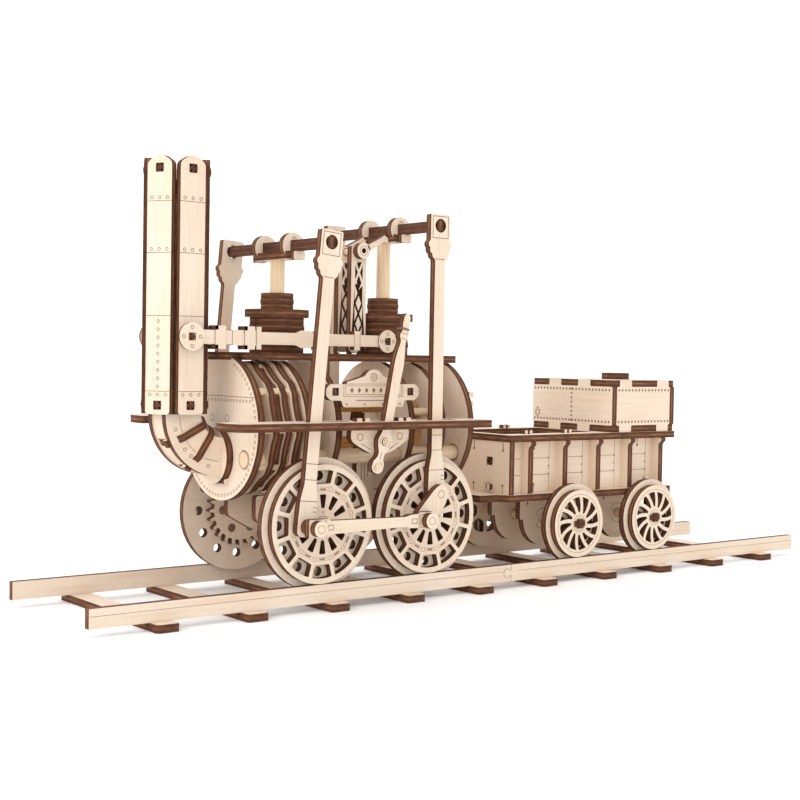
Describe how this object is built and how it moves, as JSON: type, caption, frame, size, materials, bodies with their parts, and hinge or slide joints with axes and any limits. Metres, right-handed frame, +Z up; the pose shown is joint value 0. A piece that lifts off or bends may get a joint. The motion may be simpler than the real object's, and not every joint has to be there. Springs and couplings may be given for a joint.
{
  "type": "wooden 3d jigsaw model",
  "caption": "Laser-cut plywood model of an early steam locomotive with its tender, standing on a short track; wheels, rods, beams and levers move.",
  "frame": {"origin": "on the ground under the middle of the track", "axes": "+Z up, X along the rails with the tender at +X, near side of the model at -Y"},
  "size_m": [0.3846, 0.0948, 0.17],
  "materials": {
    "birch_ply": "bare birch plywood face, laser-cut, unvarnished",
    "ply_edge": "laser-burnt plywood edge, matt brown",
    "dowel": "turned beech dowel, smooth",
    "rubber_band": "translucent amber rubber"
  },
  "bodies": {
    "track": {"front_track_half": "birch_ply", "rear_track_half": "birch_ply"},
    "locomotive": {"boiler_front_plate": "birch_ply", "boiler_rear_plate": "birch_ply", "boiler_ring_front": "ply_edge", "boiler_ring_middle": "ply_edge", "boiler_ring_rear": "ply_edge", "near_boiler_dowel": "dowel", "far_boiler_dowel": "dowel", "top_deck": "birch_ply", "rubber_band": "rubber_band", "chimney": "birch_ply", "chimney_elbow": "birch_ply", "near_steam_pipe": "birch_ply", "far_steam_pipe": "birch_ply", "near_footplate": "birch_ply", "far_footplate": "birch_ply", "lever_bracket": "birch_ply", "near_frame": "birch_ply", "far_frame": "birch_ply", "near_tower": "birch_ply", "far_tower": "birch_ply", "nameplate": "birch_ply", "front_cylinder": "ply_edge", "rear_cylinder": "ply_edge"},
    "tender": {"tender_floor": "birch_ply", "near_tender_side": "birch_ply", "far_tender_side": "birch_ply", "near_tender_pedestal": "birch_ply", "far_tender_pedestal": "birch_ply", "tender_front_wall": "birch_ply", "tender_rear_wall": "birch_ply", "tender_shelf": "birch_ply", "tank": "birch_ply", "tank_hatch": "birch_ply", "drawbar": "birch_ply"},
    "front_wheelset": {"near_front_wheel": "birch_ply", "far_front_wheel": "birch_ply", "front_axle": "dowel", "drive_gear": "birch_ply"},
    "rear_wheelset": {"near_rear_wheel": "birch_ply", "far_rear_wheel": "birch_ply", "rear_axle": "dowel", "near_return_crank": "birch_ply", "far_return_crank": "birch_ply"},
    "motor_pinion": {"motor_pinion": "birch_ply"},
    "tender_front_wheelset": {"tender_front_wheelset": "birch_ply"},
    "tender_rear_wheelset": {"tender_rear_wheelset": "birch_ply"},
    "near_front_rod": {"near_front_rod": "birch_ply"},
    "far_front_rod": {"far_front_rod": "birch_ply"},
    "near_rear_rod": {"near_rear_rod": "birch_ply"},
    "far_rear_rod": {"far_rear_rod": "birch_ply"},
    "near_coupling_rod": {"near_coupling_rod": "birch_ply"},
    "far_coupling_rod": {"far_coupling_rod": "birch_ply"},
    "front_crosshead": {"front_crosshead_beam": "ply_edge", "front_piston_rod": "dowel"},
    "rear_crosshead": {"rear_crosshead_beam": "ply_edge", "rear_piston_rod": "dowel"},
    "radius_levers": {"radius_levers": "birch_ply"},
    "start_lever": {"start_lever": "birch_ply"}
  },
  "joints": [
    {"name": "train_roll", "type": "slide", "parent": "track", "child": "locomotive", "axis": [-1, 0, 0], "range_m": [0, 0.0358]},
    {"name": "tender_roll", "type": "slide", "parent": "track", "child": "tender", "axis": [-1, 0, 0], "range_m": [0, 0.0359]},
    {"name": "front_wheelset_turn", "type": "hinge", "parent": "locomotive", "child": "front_wheelset", "pos_m": [-0.0969, 0, 0.033], "axis": [0, 1, 0], "range_deg": [-90.2, 0]},
    {"name": "rear_wheelset_turn", "type": "hinge", "parent": "locomotive", "child": "rear_wheelset", "pos_m": [-0.0443, 0, 0.033], "axis": [0, 1, 0], "range_deg": [-90.2, 0]},
    {"name": "motor_pinion_turn", "type": "hinge", "parent": "locomotive", "child": "motor_pinion", "pos_m": [-0.07633, 0, 0.03851], "axis": [0, 1, 0], "range_deg": [0, 180.4]},
    {"name": "tender_front_wheelset_turn", "type": "hinge", "parent": "tender", "child": "tender_front_wheelset", "pos_m": [0.04025, 0, 0.025], "axis": [0, 1, 0], "range_deg": [-139, 0]},
    {"name": "tender_rear_wheelset_turn", "type": "hinge", "parent": "tender", "child": "tender_rear_wheelset", "pos_m": [0.08905, 0, 0.025], "axis": [0, 1, 0], "range_deg": [-139, 0]},
    {"name": "near_front_rod_pin", "type": "hinge", "parent": "front_wheelset", "child": "near_front_rod", "pos_m": [-0.1064, -0.0361, 0.033], "axis": [0, 1, 0], "range_deg": [0, 85.2]},
    {"name": "near_rear_rod_pin", "type": "hinge", "parent": "rear_wheelset", "child": "near_rear_rod", "pos_m": [-0.0443, -0.0361, 0.0425], "axis": [0, 1, 0], "range_deg": [0, 95.3]},
    {"name": "far_front_rod_pin", "type": "hinge", "parent": "front_wheelset", "child": "far_front_rod", "pos_m": [-0.1064, 0.0361, 0.033], "axis": [0, 1, 0], "range_deg": [0, 85.2]},
    {"name": "far_rear_rod_pin", "type": "hinge", "parent": "rear_wheelset", "child": "far_rear_rod", "pos_m": [-0.0443, 0.0361, 0.0425], "axis": [0, 1, 0], "range_deg": [0, 95.3]},
    {"name": "near_coupling_rod_pin", "type": "hinge", "parent": "front_wheelset", "child": "near_coupling_rod", "pos_m": [-0.1064, -0.0427, 0.033], "axis": [0, 1, 0], "range_deg": [0, 90.2]},
    {"name": "far_coupling_rod_pin", "type": "hinge", "parent": "front_wheelset", "child": "far_coupling_rod", "pos_m": [-0.1064, 0.0427, 0.033], "axis": [0, 1, 0], "range_deg": [0, 90.2]},
    {"name": "front_crosshead_slide", "type": "slide", "parent": "locomotive", "child": "front_crosshead", "axis": [0, 0, 1], "range_m": [-0.00918, 0]},
    {"name": "rear_crosshead_slide", "type": "slide", "parent": "locomotive", "child": "rear_crosshead", "axis": [0, 0, 1], "range_m": [-0.01002, 0]},
    {"name": "radius_lever_swing", "type": "hinge", "parent": "locomotive", "child": "radius_levers", "pos_m": [-0.0613, 0, 0.14], "axis": [0, 1, 0], "range_deg": [0, 45.2]},
    {"name": "start_lever_swing", "type": "hinge", "parent": "locomotive", "child": "start_lever", "pos_m": [-0.0716, -0.0378, 0.064], "axis": [0, 1, 0], "range_deg": [-24, 0]}
  ],
  "couplings": [
    {"joint": "tender_roll", "follows": "train_roll", "ratio": 1},
    {"joint": "front_wheelset_turn", "follows": "train_roll", "rad_per_m": -43.877},
    {"joint": "rear_wheelset_turn", "follows": "train_roll", "rad_per_m": -43.877},
    {"joint": "motor_pinion_turn", "follows": "train_roll", "rad_per_m": 87.754},
    {"joint": "tender_front_wheelset_turn", "follows": "train_roll", "rad_per_m": -67.568},
    {"joint": "tender_rear_wheelset_turn", "follows": "train_roll", "rad_per_m": -67.568},
    {"joint": "near_front_rod_pin", "follows": "train_roll", "rad_per_m": 41.394},
    {"joint": "near_rear_rod_pin", "follows": "train_roll", "rad_per_m": 46.36},
    {"joint": "far_front_rod_pin", "follows": "train_roll", "rad_per_m": 41.394},
    {"joint": "far_rear_rod_pin", "follows": "train_roll", "rad_per_m": 46.36},
    {"joint": "near_coupling_rod_pin", "follows": "train_roll", "rad_per_m": 43.877},
    {"joint": "far_coupling_rod_pin", "follows": "train_roll", "rad_per_m": 43.877},
    {"joint": "front_crosshead_slide", "follows": "train_roll", "ratio": -0.25356},
    {"joint": "rear_crosshead_slide", "follows": "train_roll", "ratio": -0.27717},
    {"joint": "radius_lever_swing", "follows": "train_roll", "rad_per_m": 21.939}
  ]
}
